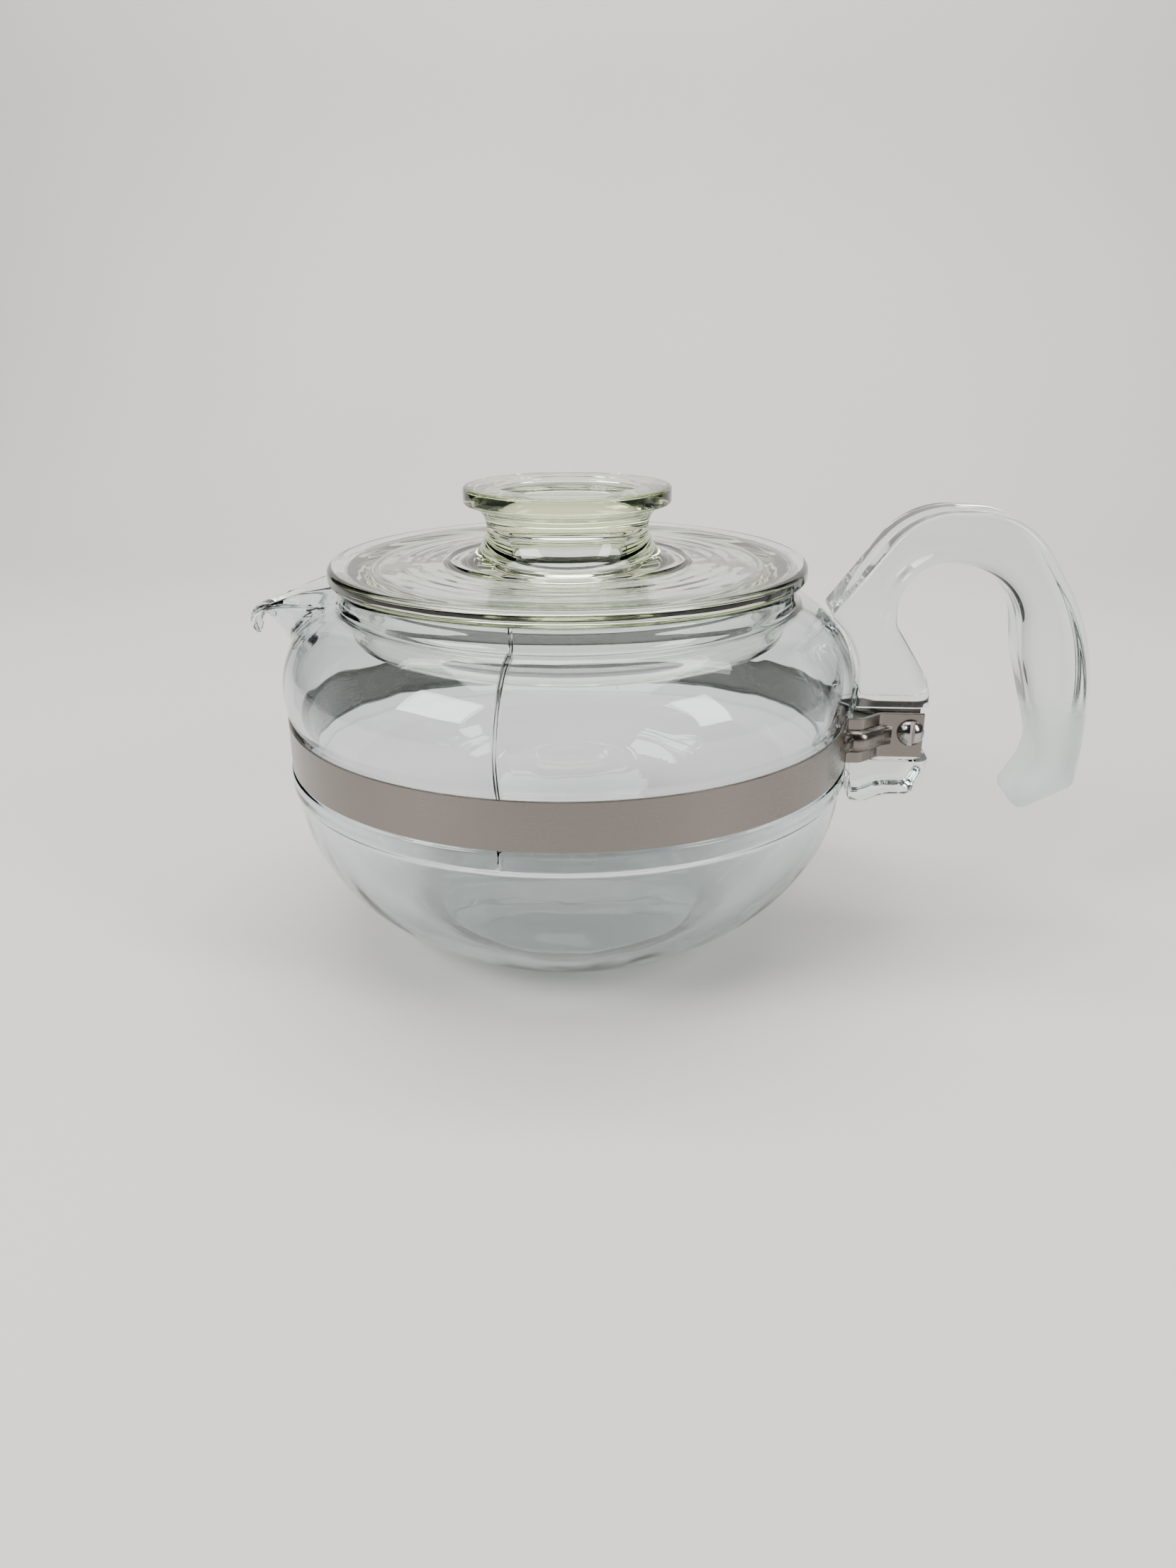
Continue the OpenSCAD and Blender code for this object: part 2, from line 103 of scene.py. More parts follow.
outside = (
    [(0, RECESS_H), (RECESS_FLAT / 2, RECESS_H)]
    + [(RECESS_FLAT + (BASE_R - FOOT_RING - RECESS_FLAT) * k, RECESS_H / 2 * (1 + math.cos(math.pi * k)))
       for k in np.linspace(0, 1, 16)]
    + [(BASE_R - 1.2, 0.0)] + arc(BASE_R - 0.2, FOOT_ROUND, FOOT_ROUND, FOOT_ROUND, 270, 310, 3)
    + arc(0, BOWL_H, BOWL_R, BOWL_B, -deg_asin((BOWL_H - FOOT_ROUND - 0.1) / BOWL_B), -2.2, 34)
    + arc(BOWL_R - EDGE_ROUND, BOWL_H - RIDGE_STEP, EDGE_ROUND, EDGE_ROUND, 0, 20, 2)
    + arc(RIDGE_R - EDGE_ROUND, BOWL_H + RIDGE_STEP, EDGE_ROUND, 0.7, -60, 0, 4)
    + line((RIDGE_R, BOWL_H + RIDGE_STEP), (RIDGE_R, BAND_Z - SEAT_STEP), 3)
    + arc(RIDGE_R - SEAT_ROUND, BAND_Z - SEAT_STEP, SEAT_ROUND, SEAT_ROUND, 0, 60, 4)
    + [(SEAT_R + 0.25, BAND_Z - 0.25), (SEAT_R, BAND_Z + 0.1)]
    + line((SEAT_R, BAND_Z + 0.1), (SEAT_R, BAND_TOP + 0.1), 6)
    + arc(SHOULDER_X, SHOULDER_Z, SHOULDER_ROUND, SHOULDER_ROUND, shoulder_low, 0, 10))
turn_row = len(outside) - 1
outside += (
    arc(SHOULDER_X, SHOULDER_Z, SHOULDER_ROUND, SHOULDER_ROUND, 0, fillet_turn, 36)[1:]
    + arc(fillet_x, fillet_z, FILLET, FILLET, 180 + fillet_turn, 180, 6)[1:]
    + line((NECK_R, fillet_z), (NECK_R, RIM_Z - WALL / 2), 4)[:-1])
rim_row = len(outside)
RIM_STEPS = 10
rim = arc(NECK_R - WALL / 2, RIM_Z - WALL / 2, WALL / 2, WALL / 2, 0, 180, RIM_STEPS)
inside = (
    line((NECK_R - WALL, RIM_Z - WALL / 2),
         (NECK_R - WALL, SHOULDER_Z + math.sqrt(inner_round ** 2 - (NECK_R - WALL - SHOULDER_X) ** 2)), 5)
    + arc(SHOULDER_X, SHOULDER_Z, inner_round, inner_round,
          math.degrees(math.acos((NECK_R - WALL - SHOULDER_X) / inner_round)), 0, 34)[1:])
inner_turn_row = rim_row + RIM_STEPS + len(inside)
inside += (
    arc(SHOULDER_X, SHOULDER_Z, inner_round, inner_round,
        0, -deg_asin((SHOULDER_Z - BAND_TOP) / inner_round), 8)[1:]
    + line((SHOULDER_X + math.sqrt(inner_round ** 2 - (SHOULDER_Z - BAND_TOP) ** 2), BAND_TOP),
           (BOWL_R - WALL, BOWL_H), 8)
    + arc(0, BOWL_H, BOWL_R - WALL, inner_b, 0, -deg_asin((BOWL_H - BASE_T - 1) / inner_b), 30)[1:])
inside += line(inside[-1], (0, BASE_T), 10)
pot_outline = outside + rim + inside


def deselect():
    if bpy.context.object and bpy.context.object.mode != "OBJECT":
        bpy.ops.object.mode_set(mode="OBJECT")
    bpy.ops.object.select_all(action="DESELECT")


def draw_outline(name, outline, azimuth=0.0):
    """A new mesh object that is one chain of edges along an outline of (radius, height) points."""
    deselect()
    bpy.ops.mesh.primitive_plane_add(size=MM)
    piece = bpy.context.object
    piece.name = name
    bpy.ops.object.mode_set(mode="EDIT")
    bpy.ops.mesh.merge(type="CENTER")
    c, s = math.cos(math.radians(azimuth)), math.sin(math.radians(azimuth))
    last = Vector((0, 0, 0))
    for i, (r, z) in enumerate(outline):
        point = Vector((r * c, r * s, z)) * MM
        if i == 0:
            bpy.ops.transform.translate(value=point)
        else:
            bpy.ops.mesh.extrude_region_move(TRANSFORM_OT_translate={"value": point - last})
        last = point
    bpy.ops.object.mode_set(mode="OBJECT")
    return piece


def mark_rows(piece):
    """Numbers the points of an outline, so that each can be found again after it is spun."""
    rows = piece.data.attributes.new("row", "FLOAT", "POINT")
    rows.data.foreach_set("value", np.arange(len(piece.data.vertices), dtype=np.float32))


def spin_sectors(piece, sectors):
    """Spins an outline about Z in sectors of (degrees, steps) and closes it."""
    deselect()
    bpy.context.view_layer.objects.active = piece
    piece.select_set(True)
    bpy.ops.object.mode_set(mode="EDIT")
    bpy.ops.mesh.select_all(action="SELECT")
    for turn, steps in sectors:
        bpy.ops.mesh.spin(steps=steps, angle=math.radians(turn), center=(0, 0, 0), axis=(0, 0, 1))
    bpy.ops.mesh.select_all(action="SELECT")
    bpy.ops.mesh.remove_doubles(threshold=0.00001)
    bpy.ops.mesh.normals_make_consistent(inside=False)
    bpy.ops.object.mode_set(mode="OBJECT")


def points_of(piece):
    """The points of a mesh, in millimetres."""
    co = np.zeros(len(piece.data.vertices) * 3)
    piece.data.vertices.foreach_get("co", co)
    return co.reshape(-1, 3) / MM


def set_points(piece, co):
    piece.data.vertices.foreach_set("co", (co * MM).ravel())
    piece.data.update()


# The sector that the spout is pulled from has finer steps than the rest
SPOUT_SECTOR = 44.0
SPOUT_STEPS, REST_STEPS = 176, 144
pot = draw_outline("pot", pot_outline, azimuth=180 - SPOUT_SECTOR / 2)
mark_rows(pot)
spin_sectors(pot, [(SPOUT_SECTOR, SPOUT_STEPS), (360 - SPOUT_SECTOR, REST_STEPS)])

SPOUT_X = float(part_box("glass_body")[0].x) / MM
SPOUT_T = 2.6
ROOT_W = 13.0
LIP_W = 8.8
# Each station across the spout: under side x and z, direction of its top, height of the rim, half width
stations = np.array([
    [-NECK_R - 5.4, RIM_Z - 28.6, 54, 31, ROOT_W + 1],
    [-POT_R + 0.2, SHOULDER_Z + 4.5, 55, 22.5, ROOT_W],
    [SPOUT_X + 9.6, RIM_Z - 17.6, 58, 16.3, (ROOT_W + LIP_W) / 2],
    [SPOUT_X + 7.1, RIM_Z - 14, 64, 10.8, LIP_W + 1],
    [SPOUT_X + 5.1, RIM_Z - 11.8, 75, 5.2, LIP_W + 0.4],
    [SPOUT_X + 4.4, RIM_Z - 11.6, 95, 4, LIP_W],
    [SPOUT_X + 3.4, RIM_Z - 12.3, 140, 3.3, LIP_W - 0.7],
    [SPOUT_X + 3, RIM_Z - 13.6, 175, 2.9, LIP_W - 1.8],
    [SPOUT_X + 3.3, RIM_Z - 15.0, 190, 2.8, LIP_W - 3.2]])
LAST = len(stations) - 1


def smooth_step(low, high, x):
    t = np.clip((x - low) / (high - low), 0, 1)
    return t * t * (3 - 2 * t)


def station_at(t):
    """The spout's station at a fractional place t, on a curve through the stations."""
    t = np.clip(t, 0, LAST - 1e-6)
    i = t.astype(int)
    f = (t - i)[:, None]
    p = [stations[np.clip(i + k, 0, LAST)] for k in (-1, 0, 1, 2)]
    return 0.5 * (2 * p[1] + (p[2] - p[0]) * f + (2 * p[0] - 5 * p[1] + 4 * p[2] - p[3]) * f ** 2
                  + (3 * p[1] - p[0] - 3 * p[2] + p[3]) * f ** 3)


def trough(t, a, skin):
    """A point of the spout at station t and angle a round it, skin millimetres above its under side."""
    x, z, way, high, half = station_at(t).T
    up = skin + np.maximum(high - skin, 0.2) * (1 - np.cos(a))
    return np.stack([x + np.cos(np.radians(way)) * up, (skin - half) * np.sin(a),
                     z + np.sin(np.radians(way)) * up], axis=1)


# Columns of the pulled glass run from -1 to 1 over the spread: those within the front share end on the lip,
# and those out to the root share end along the trough's rims
FRONT = 0.3
ROOT = 0.76
SPREAD = 16.0
REACH, TRIES = 2.5, 200
ROW_STEP = 0.75
TROUGH_SLACK = 1.15


def meets_pot(angle, skin, rows):
    """Station at which a line of the trough, at a fixed angle, comes out through a side of the pot's wall."""
    radius, height = np.array(pot_outline)[rows].T
    order = np.argsort(height)
    tries = np.linspace(0, REACH, TRIES)
    spots = [trough(np.full(len(angle), t), angle, skin) for t in tries]
    clear = np.array([np.hypot(p[:, 0], p[:, 1]) - np.interp(p[:, 2], height[order], radius[order])
                      for p in spots])
    return tries[np.argmax(clear > 0, axis=0)]


def row_at(height, rows):
    """Row of the outline at a height, between two rows where the height always rises or always falls."""
    heights = np.array(pot_outline)[rows, 1]
    order = np.argsort(heights)
    return np.interp(height, heights[order], np.array(rows, float)[order])


def on_pot(row, azimuth):
    """A point of the plain pot at a fractional row and an azimuth from the -X side."""
    radius = np.interp(row, range(len(pot_outline)), np.array(pot_outline)[:, 0])
    height = np.interp(row, range(len(pot_outline)), np.array(pot_outline)[:, 1])
    return np.stack([-radius * np.cos(azimuth), -radius * np.sin(azimuth), height], axis=1)


def glass_path(u, go, skin, rows, ways):
    """Point on a column's way from the shoulder, at go = 0, along pot and trough to the lip, at go = 1."""
    join_a = np.sign(u) * np.radians(90) * np.clip(np.abs(u) / ROOT, 0, 1) ** 1.2
    join_t = meets_pot(join_a, skin, rows)
    join = trough(join_t, join_a, skin)
    end_t, end_a = ways
    join_row = row_at(join[:, 2], rows)
    start_row = float(rows[0] if skin == 0 else rows[-1])
    pot_length = np.abs(join_row - start_row) * ROW_STEP + 1
    trough_length = np.linalg.norm(trough(end_t, end_a, skin) - join, axis=1) * TROUGH_SLACK + 0.01
    share = pot_length / (pot_length + trough_length)
    k = np.clip(go / share, 0, 1)
    own, there = np.radians(u * SPREAD), np.arctan2(-join[:, 1], -join[:, 0])
    low = on_pot(start_row + (join_row - start_row) * k, own + (there - own) * smooth_step(0, 1, k))
    m = np.clip((go - share) / (1 - share), 0, 1)
    high = trough(join_t + (end_t - join_t) * m, join_a + (end_a - join_a) * m ** 2, skin)
    return np.where((go <= share)[:, None], low, high)


def lip_place(u):
    """Where a column u of the pot's glass ends on the lip: station and angle."""
    root_t = meets_pot(np.array([math.pi / 2]), 0.0, OUTER_ROWS)[0]
    side = np.clip((ROOT - np.abs(u)) / (ROOT - FRONT), 0, 1)
    a = np.sign(u) * np.radians(90) * np.clip(np.abs(u) / FRONT, 0, 1)
    return root_t + (LAST - root_t) * side, a


OUTER_ROWS = list(range(turn_row, rim_row))
INNER_ROWS = list(range(rim_row + RIM_STEPS, inner_turn_row + 1))
BEAD_LIFT = 1.5
BEAD_SWELL = 0.55


def pull_spout(piece):
    """Pulls the glass about the -X side of the neck out into the spout."""
    co = points_of(piece)
    rows = np.zeros(len(co), np.float32)
    piece.data.attributes["row"].data.foreach_get("value", rows)
    u = np.degrees(np.arctan2(-co[:, 1], -co[:, 0])) / SPREAD
    near = (np.abs(u) < 1) & (rows > turn_row) & (rows < inner_turn_row) & (co[:, 0] < 0)
    u, row, old = u[near], rows[near], co[near]
    ends = lip_place(u)
    end_t, end_a = ends
    out = np.clip((row - turn_row) / (rim_row - turn_row), 0, 1)
    back = np.clip((inner_turn_row - row) / (inner_turn_row - rim_row - RIM_STEPS), 0, 1)
    new = np.where((row <= rim_row)[:, None], glass_path(u, out, 0.0, OUTER_ROWS, ends),
                   glass_path(u, back, SPOUT_T, INNER_ROWS, ends))
    over = (row > rim_row) & (row < rim_row + RIM_STEPS)
    edge_out, edge_in = trough(end_t, end_a, 0.0), trough(end_t, end_a, SPOUT_T)
    turn = np.radians((row - rim_row) * 180 / RIM_STEPS)
    front = smooth_step(FRONT * 1.9, FRONT * 0.8, np.abs(u))
    middle = (edge_out + edge_in) / 2
    along = middle - trough(end_t - 0.15, end_a, SPOUT_T / 2)
    round_way = middle - trough(end_t, end_a * 0.97, SPOUT_T / 2)
    ahead = along * front[:, None] + round_way * (1 - front[:, None])
    ahead /= np.maximum(np.linalg.norm(ahead, axis=1), 1e-6)[:, None]
    lift = SPOUT_T / 2 + BEAD_LIFT * front
    swell = 1 + BEAD_SWELL * front * np.sin(turn)
    bead = (middle + (edge_out - middle) * (np.cos(turn) * swell)[:, None]
            + ahead * (lift * np.sin(turn))[:, None])
    new[over] = bead[over]
    weight = smooth_step(1.0, ROOT, np.abs(u))
    co[near] = old + (new - old) * weight[:, None]
    set_points(piece, co)


pull_spout(pot)


def relax(piece, chosen, factor, times):
    """Smooths the chosen points of a piece, as a glass worker's flame does."""
    deselect()
    bpy.context.view_layer.objects.active = piece
    piece.select_set(True)
    piece.data.vertices.foreach_set("select", chosen)
    bpy.ops.object.mode_set(mode="EDIT")
    bpy.ops.mesh.select_mode(type="VERT")
    bpy.ops.mesh.vertices_smooth(factor=factor, repeat=times)
    bpy.ops.object.mode_set(mode="OBJECT")


ROOT_FROM, ROOT_TO, ROOT_SIDE, ROOT_LOW = -50, -83, 19, 74
x, y, z = points_of(pot).T
relax(pot, (x < ROOT_FROM) & (x > ROOT_TO) & (np.abs(y) < ROOT_SIDE) & (z > ROOT_LOW), 0.5, 5)


def finish_piece(piece, body, node, material, smooth_angle=32):
    """Shades a finished piece, gives it its material and ties it to the model."""
    deselect()
    bpy.context.view_layer.objects.active = piece
    piece.select_set(True)
    bpy.ops.object.shade_smooth_by_angle(angle=math.radians(smooth_angle))
    piece.data.materials.clear()
    piece.data.materials.append(material)
    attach(piece, body)
    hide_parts(node)


class Value:
    """A node socket that can be used in Python sums."""

    def __init__(self, paint, socket):
        self.paint = paint
        self.socket = socket

    def _math(self, operation, first, second):
        return self.paint.node("ShaderNodeMath", {"operation": operation}, {0: first, 1: second})

    def __add__(self, other):
        return self._math("ADD", self, other)

    def __radd__(self, other):
        return self._math("ADD", other, self)

    def __sub__(self, other):
        return self._math("SUBTRACT", self, other)

    def __rsub__(self, other):
        return self._math("SUBTRACT", other, self)

    def __mul__(self, other):
        return self._math("MULTIPLY", self, other)

    def __rmul__(self, other):
        return self._math("MULTIPLY", other, self)

    def __pow__(self, other):
        return self._math("POWER", self, other)


class Paint:
    """A node material that is built up one node at a time."""

    def __init__(self, name):
        self.material = bpy.data.materials.new(name)
        self.material.use_nodes = True
        self.tree = self.material.node_tree
        self.tree.nodes.clear()

    def make(self, kind, settings, inputs):
        """A new node of a kind, with its settings set first and then its sockets set or linked."""
        made = self.tree.nodes.new(kind)
        for key, value in settings.items():
            if key == "stops":
                ramp = made.color_ramp
                while len(ramp.elements) < len(value):
                    ramp.elements.new(0.5)
                for stop, (place, colour) in zip(ramp.elements, value):
                    stop.position = place
                    stop.color = (*colour, 1.0)
            else:
                setattr(made, key, value)
        for key, value in inputs.items():
            if isinstance(value, Value):
                self.tree.links.new(value.socket, made.inputs[key])
            else:
                made.inputs[key].default_value = value
        return made

    def node(self, kind, settings=None, inputs=None, output=0):
        return Value(self, self.make(kind, settings or {}, inputs or {}).outputs[output])

    def place(self):
        """Object coordinates, in metres."""
        return self.node("ShaderNodeTexCoord", {}, {}, "Object")

    def parts(self, vector):
        split = self.make("ShaderNodeSeparateXYZ", {}, {"Vector": vector})
        return [Value(self, split.outputs[i]) for i in range(3)]

    def noise(self, vector, scale, detail=2.0, roughness=0.5, stretch=(1, 1, 1)):
        moved = self.node("ShaderNodeMapping", {}, {"Vector": vector, "Scale": stretch})
        return self.node("ShaderNodeTexNoise", {}, {"Vector": moved, "Scale": scale, "Detail": detail,
                                                    "Roughness": roughness}, "Fac")

    def ramp(self, value, stops):
        return self.node("ShaderNodeValToRGB", {"stops": stops}, {"Fac": value}, "Color")

    def range(self, value, low, high, to_low=0.0, to_high=1.0):
        ends = {"From Min": low, "From Max": high, "To Min": to_low, "To Max": to_high}
        return self.node("ShaderNodeMapRange", {"interpolation_type": "SMOOTHSTEP"},
                         {"Value": value, **ends}, "Result")

    def bump(self, height, distance, strength=1.0, normal=None):
        inputs = {"Height": height, "Distance": distance, "Strength": strength}
        if normal is not None:
            inputs["Normal"] = normal
        return self.node("ShaderNodeBump", {}, inputs, "Normal")

    def output(self, surface, volume=None):
        inputs = {"Surface": surface}
        if volume is not None:
            inputs["Volume"] = volume
        self.make("ShaderNodeOutputMaterial", {}, inputs)
        return self.material


GLASS_IOR = 1.474
# The mould's seam: its turn from the Y axis, and in metres its height, its wander, the square of its half
# width and the heights between which it fades in above the ridge
SEAM_TURN = math.radians(7.5)
SEAM_H = 0.00021
SEAM_WANDER = 0.0012
SEAM_SPREAD = 0.0000006
SEAM_FOOT = (0.0455, 0.0475)


def glass(name, tint, density, wave, wave_scale, stretch, ground_tip=None, seam=False):
    """Clear glass with a tint that deepens with thickness, and the faint waves of hot-formed glass."""
    paint = Paint(name)
    place = paint.place()
    waves = paint.noise(place, wave_scale, 2.0, 0.45, stretch)
    roughness = paint.range(paint.noise(place, 240.0, 3.0), 0.62, 0.8, 0.0, 0.02)
    normal = paint.bump(waves, wave)
    x, y, z = paint.parts(place)
    colour = paint.ramp(paint.noise(place, 30.0), [(0.3, (0.985, 0.99, 0.99)), (0.7, (1.0, 1.0, 1.0))])
    if ground_tip is not None:
        edge = z + 0.004 * paint.noise(place, 180.0, 3.0) - 0.002
        ground = paint.range(edge, *ground_tip["heights"], 1.0, 0.0) * paint.range(x, *ground_tip["from_x"])
        grain = paint.noise(place, 2600.0, 2.0)
        roughness = roughness + ground * (ground_tip["roughness"] * (0.7 + 0.6 * grain))
        normal = paint.bump(grain * ground, 0.00008, 0.6, normal)
        pale = (*ground_tip["colour"], 1.0)
        colour = paint.node("ShaderNodeMix", {"data_type": "RGBA"},
                            {"Factor": ground * 0.55, "A": colour, "B": pale}, "Result")
    if seam:
        side = x * math.cos(SEAM_TURN) - y * math.sin(SEAM_TURN)
        wander = SEAM_WANDER * (paint.noise(z, 60.0, 1.0) - 0.5)
        crest = paint.range((side + wander) ** 2.0, 0.0, SEAM_SPREAD, 1.0, 0.0)
        normal = paint.bump(crest * paint.range(z, *SEAM_FOOT), SEAM_H, 1.0, normal)
    surface = paint.node("ShaderNodeBsdfPrincipled", {}, {
        "Base Color": colour, "Roughness": roughness, "IOR": GLASS_IOR, "Transmission Weight": 1.0,
        "Normal": normal}, "BSDF")
    volume = paint.node("ShaderNodeVolumeAbsorption", {}, {"Color": (*tint, 1.0), "Density": density},
                        "Volume")
    return paint.output(surface, volume)


pot_glass = glass("pot_glass", (0.36, 0.55, 0.60), 62.0, 0.00045, 34.0, (1, 1, 0.5), seam=True)
finish_piece(pot, "pot", "glass_body", pot_glass)

# ---- The lid ----
# A pressed glass lid in one piece: a flat flange that rests on the rim, a collar that drops into the neck,
# and a hollow knob with a dished top. Its glass is a little yellower than the pot's.

COLLAR_R = NECK_R - WALL - 1.0
COLLAR_H = 15.5
COLLAR_T = 4.5
LID_Z = float(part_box("lid")[0].z) / MM + COLLAR_H
LID_TOP = LID_Z + 4.2
LID_R = float(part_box("lid")[1].x) / MM
STEP_D = 0.6
STEM_R = 21.4
KNOB_R = 27.2
KNOB_TOP = float(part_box("lid")[1].z) / MM
KNOB_ROUND = 1.0
KNOB_EDGE = 3.6
DISH_R = 18.5
DISH_D = 2.0
HOLLOW_R = 15.7
HOLLOW_TOP = LID_TOP + 6.0
HOLLOW_DOME = 4.0
COVE = 3.0
FLANGE_LOW, FLANGE_HIGH = 1.2, 1.6
LIFT = 0.5

# The top is flat but for a shallow step and the faint rings that the press left in it
ripples = [(r, LID_TOP - STEP_D + 0.035 * math.sin(r * 1.5) * math.sin((r - STEM_R - 11) / 18.6 * math.pi))
           for r in np.linspace(COLLAR_R - 6.6, STEM_R + 11.4, 50)]
flange_top = [(r, LID_TOP - 0.012 * (1 + math.sin(r * 2.6)))
              for r in np.linspace(LID_R - 1.9, COLLAR_R - 4.2, 16)]
dish = [(DISH_R * (1 - k * k), KNOB_TOP - 0.4 - DISH_D * math.sqrt(1 - (1 - k) ** 2))
        for k in np.linspace(0, 1, 20)]
collar_low = LID_Z - COLLAR_H + COLLAR_T / 2
lid_outline = (
    [(0, HOLLOW_TOP + HOLLOW_DOME)]
    + arc(0, HOLLOW_TOP, HOLLOW_R, HOLLOW_DOME, 90, 0, 18)[1:]
    + line((HOLLOW_R, HOLLOW_TOP), (HOLLOW_R, LID_Z + COVE), 4)[:-1]
    + arc(HOLLOW_R + COVE, LID_Z + COVE, COVE, COVE, 180, 270, 10)
    + line((HOLLOW_R + COVE, LID_Z), (COLLAR_R - COLLAR_T - COVE, LID_Z), 16)[:-1]
    + arc(COLLAR_R - COLLAR_T - COVE, LID_Z - COVE, COVE, COVE, 90, 0, 10)
    + line((COLLAR_R - COLLAR_T, LID_Z - COVE), (COLLAR_R - COLLAR_T, collar_low), 6)[:-1]
    + arc(COLLAR_R - COLLAR_T / 2, collar_low, COLLAR_T / 2, COLLAR_T / 2, 180, 360, 16)
    + line((COLLAR_R, collar_low), (COLLAR_R, LID_Z - LIFT), 8)[:-1]
    + arc(COLLAR_R + LIFT, LID_Z - LIFT, LIFT, LIFT, 180, 90, 3)
    + line((COLLAR_R + LIFT, LID_Z), (LID_R - FLANGE_LOW, LID_Z), 3)[:-1]
    + arc(LID_R - FLANGE_LOW, LID_Z + FLANGE_LOW, FLANGE_LOW, FLANGE_LOW, -90, 0, 7)
    + arc(LID_R - FLANGE_HIGH, LID_TOP - FLANGE_HIGH, FLANGE_HIGH, FLANGE_HIGH, 0, 88, 9)
    + flange_top + ripples
    + [(STEM_R + 10.9, LID_TOP - 0.42), (STEM_R + 10.4, LID_TOP - 0.26)]
    + arc(STEM_R + 7.6, LID_TOP + 8.7, 7.6, 8.9, -72, -180, 22)
    + arc(STEM_R + 5.6, LID_TOP + 8.7, 5.6, 5.4, 180, 100, 14)[1:]
    + arc(KNOB_R - KNOB_ROUND, KNOB_TOP - KNOB_EDGE, KNOB_ROUND, KNOB_ROUND, -50, 0, 5)
    + arc(KNOB_R - KNOB_ROUND, KNOB_TOP - KNOB_ROUND, KNOB_ROUND, KNOB_ROUND, 0, 90, 8)
    + line((KNOB_R - KNOB_ROUND, KNOB_TOP), (DISH_R + 1.5, KNOB_TOP - 0.1), 4)[:-1]
    + arc(DISH_R + 1.0, KNOB_TOP - 0.6, 0.9, 0.5, 75, 140, 4)
    + dish)
lid = draw_outline("lid_glass", lid_outline)
spin_sectors(lid, [(360, 192)])
lid_glass = glass("lid_glass", (0.68, 0.80, 0.34), 20.0, 0.00030, 40.0, (1, 1, 1))
finish_piece(lid, "lid", "lid", lid_glass)

# ---- The handle ----
# A pressed glass handle, 20 mm thick and open at its foot. Its upper end follows the shoulder, and its free
# tip is ground matt. A notch in each face holds an ear of the band, and a slot between them takes the screw.

HANDLE_T = 20.0
TONGUE_T = 16.0
GRIP, OUTER, LUG = 4.0, 1.2, 2.4
LIMB_OUT = float(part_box("handle")[1].x) / MM
CREST_Z = float(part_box("handle")[1].z) / MM
LIMB_IN = LIMB_OUT - 13.4
GAP = 0.8
LEFT = RIDGE_R + GAP
LUG_Z = BAND_Z - 14
WEB = POT_R + 21.6
LEDGE_TOP = BAND_TOP + 1.8
LEDGE_LOW = BAND_Z - 1.0
EAR_MID = TONGUE_T / 2 + 0.45
SCREW_X = float(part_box("clamp_screw")[0].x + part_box("clamp_screw")[1].x) / 2 / MM
SCREW_Z = float(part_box("clamp_screw")[0].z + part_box("clamp_screw")[1].z) / 2 / MM
# Corners, anticlockwise from the front: x, z, round of the corner, round of the edge after it
corners = [
    (LEFT - 0.4, LUG_Z + 0.6, 2.5, LUG), (LEFT + 3.6, LUG_Z, 5, LUG), (LEFT + 9, LUG_Z + 2.4, 10, LUG),
    (WEB - 3, LUG_Z + 2.6, 3.5, GRIP), (WEB + 0.5, BAND_Z - 4.4, 6, GRIP),
    (WEB - 1.2, LEDGE_TOP + 6, 15, GRIP), (POT_R + 10.3, LEDGE_TOP + 22, 6, GRIP),
    (POT_R + 10.3, CREST_Z - 13.4, 12, GRIP), (LIMB_IN - 8.3, CREST_Z - 13.4, 18, GRIP),
    (LIMB_IN - 4.9, BAND_Z + 27, 40, GRIP), (LIMB_IN + 3.3, BAND_Z + 0.3, 15, GRIP),
    (LIMB_IN - 7.3, BAND_Z - 18.3, 2.6, LUG), (LIMB_OUT - 0.7, BAND_Z - 7.5, 3, LUG),
    (LIMB_OUT, BAND_Z + 3, 30, LUG), (LIMB_OUT, CREST_Z - 32.5, 60, LUG),
    (LIMB_OUT - 20.9, CREST_Z, 22, OUTER), (POT_R + 13, CREST_Z, 20, OUTER)]
# Its end follows the shoulder, from where it leaves the crest down to the ledge
TOP_TURN = 51
corners += [(SHOULDER_X + (SHOULDER_ROUND + GAP) * math.cos(math.radians(a)),
             SHOULDER_Z + (SHOULDER_ROUND + GAP) * math.sin(math.radians(a)),
             1.6 if a == TOP_TURN else 0, OUTER)
            for a in range(TOP_TURN, -5, -5)]
corners += [(LEFT - 0.4, LEDGE_TOP, 0, OUTER)]


def cross(a, b):
    return a[0] * b[1] - a[1] * b[0]


def rounded(before, corner, after, radius, steps):
    """Points of the round of a corner."""
    d0, d1 = (corner - before), (after - corner)
    d0, d1 = d0 / np.linalg.norm(d0), d1 / np.linalg.norm(d1)
    turn = math.acos(max(-1.0, min(1.0, float(d0 @ d1))))
    side = math.copysign(1, cross(d0, d1))
    start = corner - d0 * radius * math.tan(turn / 2)
    centre = start + side * radius * np.array([-d0[1], d0[0]])
    arm = start - centre
    angles = [side * turn * i / steps for i in range(steps + 1)]
    return [centre + np.array([arm[0] * math.cos(a) - arm[1] * math.sin(a),
                               arm[0] * math.sin(a) + arm[1] * math.cos(a)]) for a in angles]


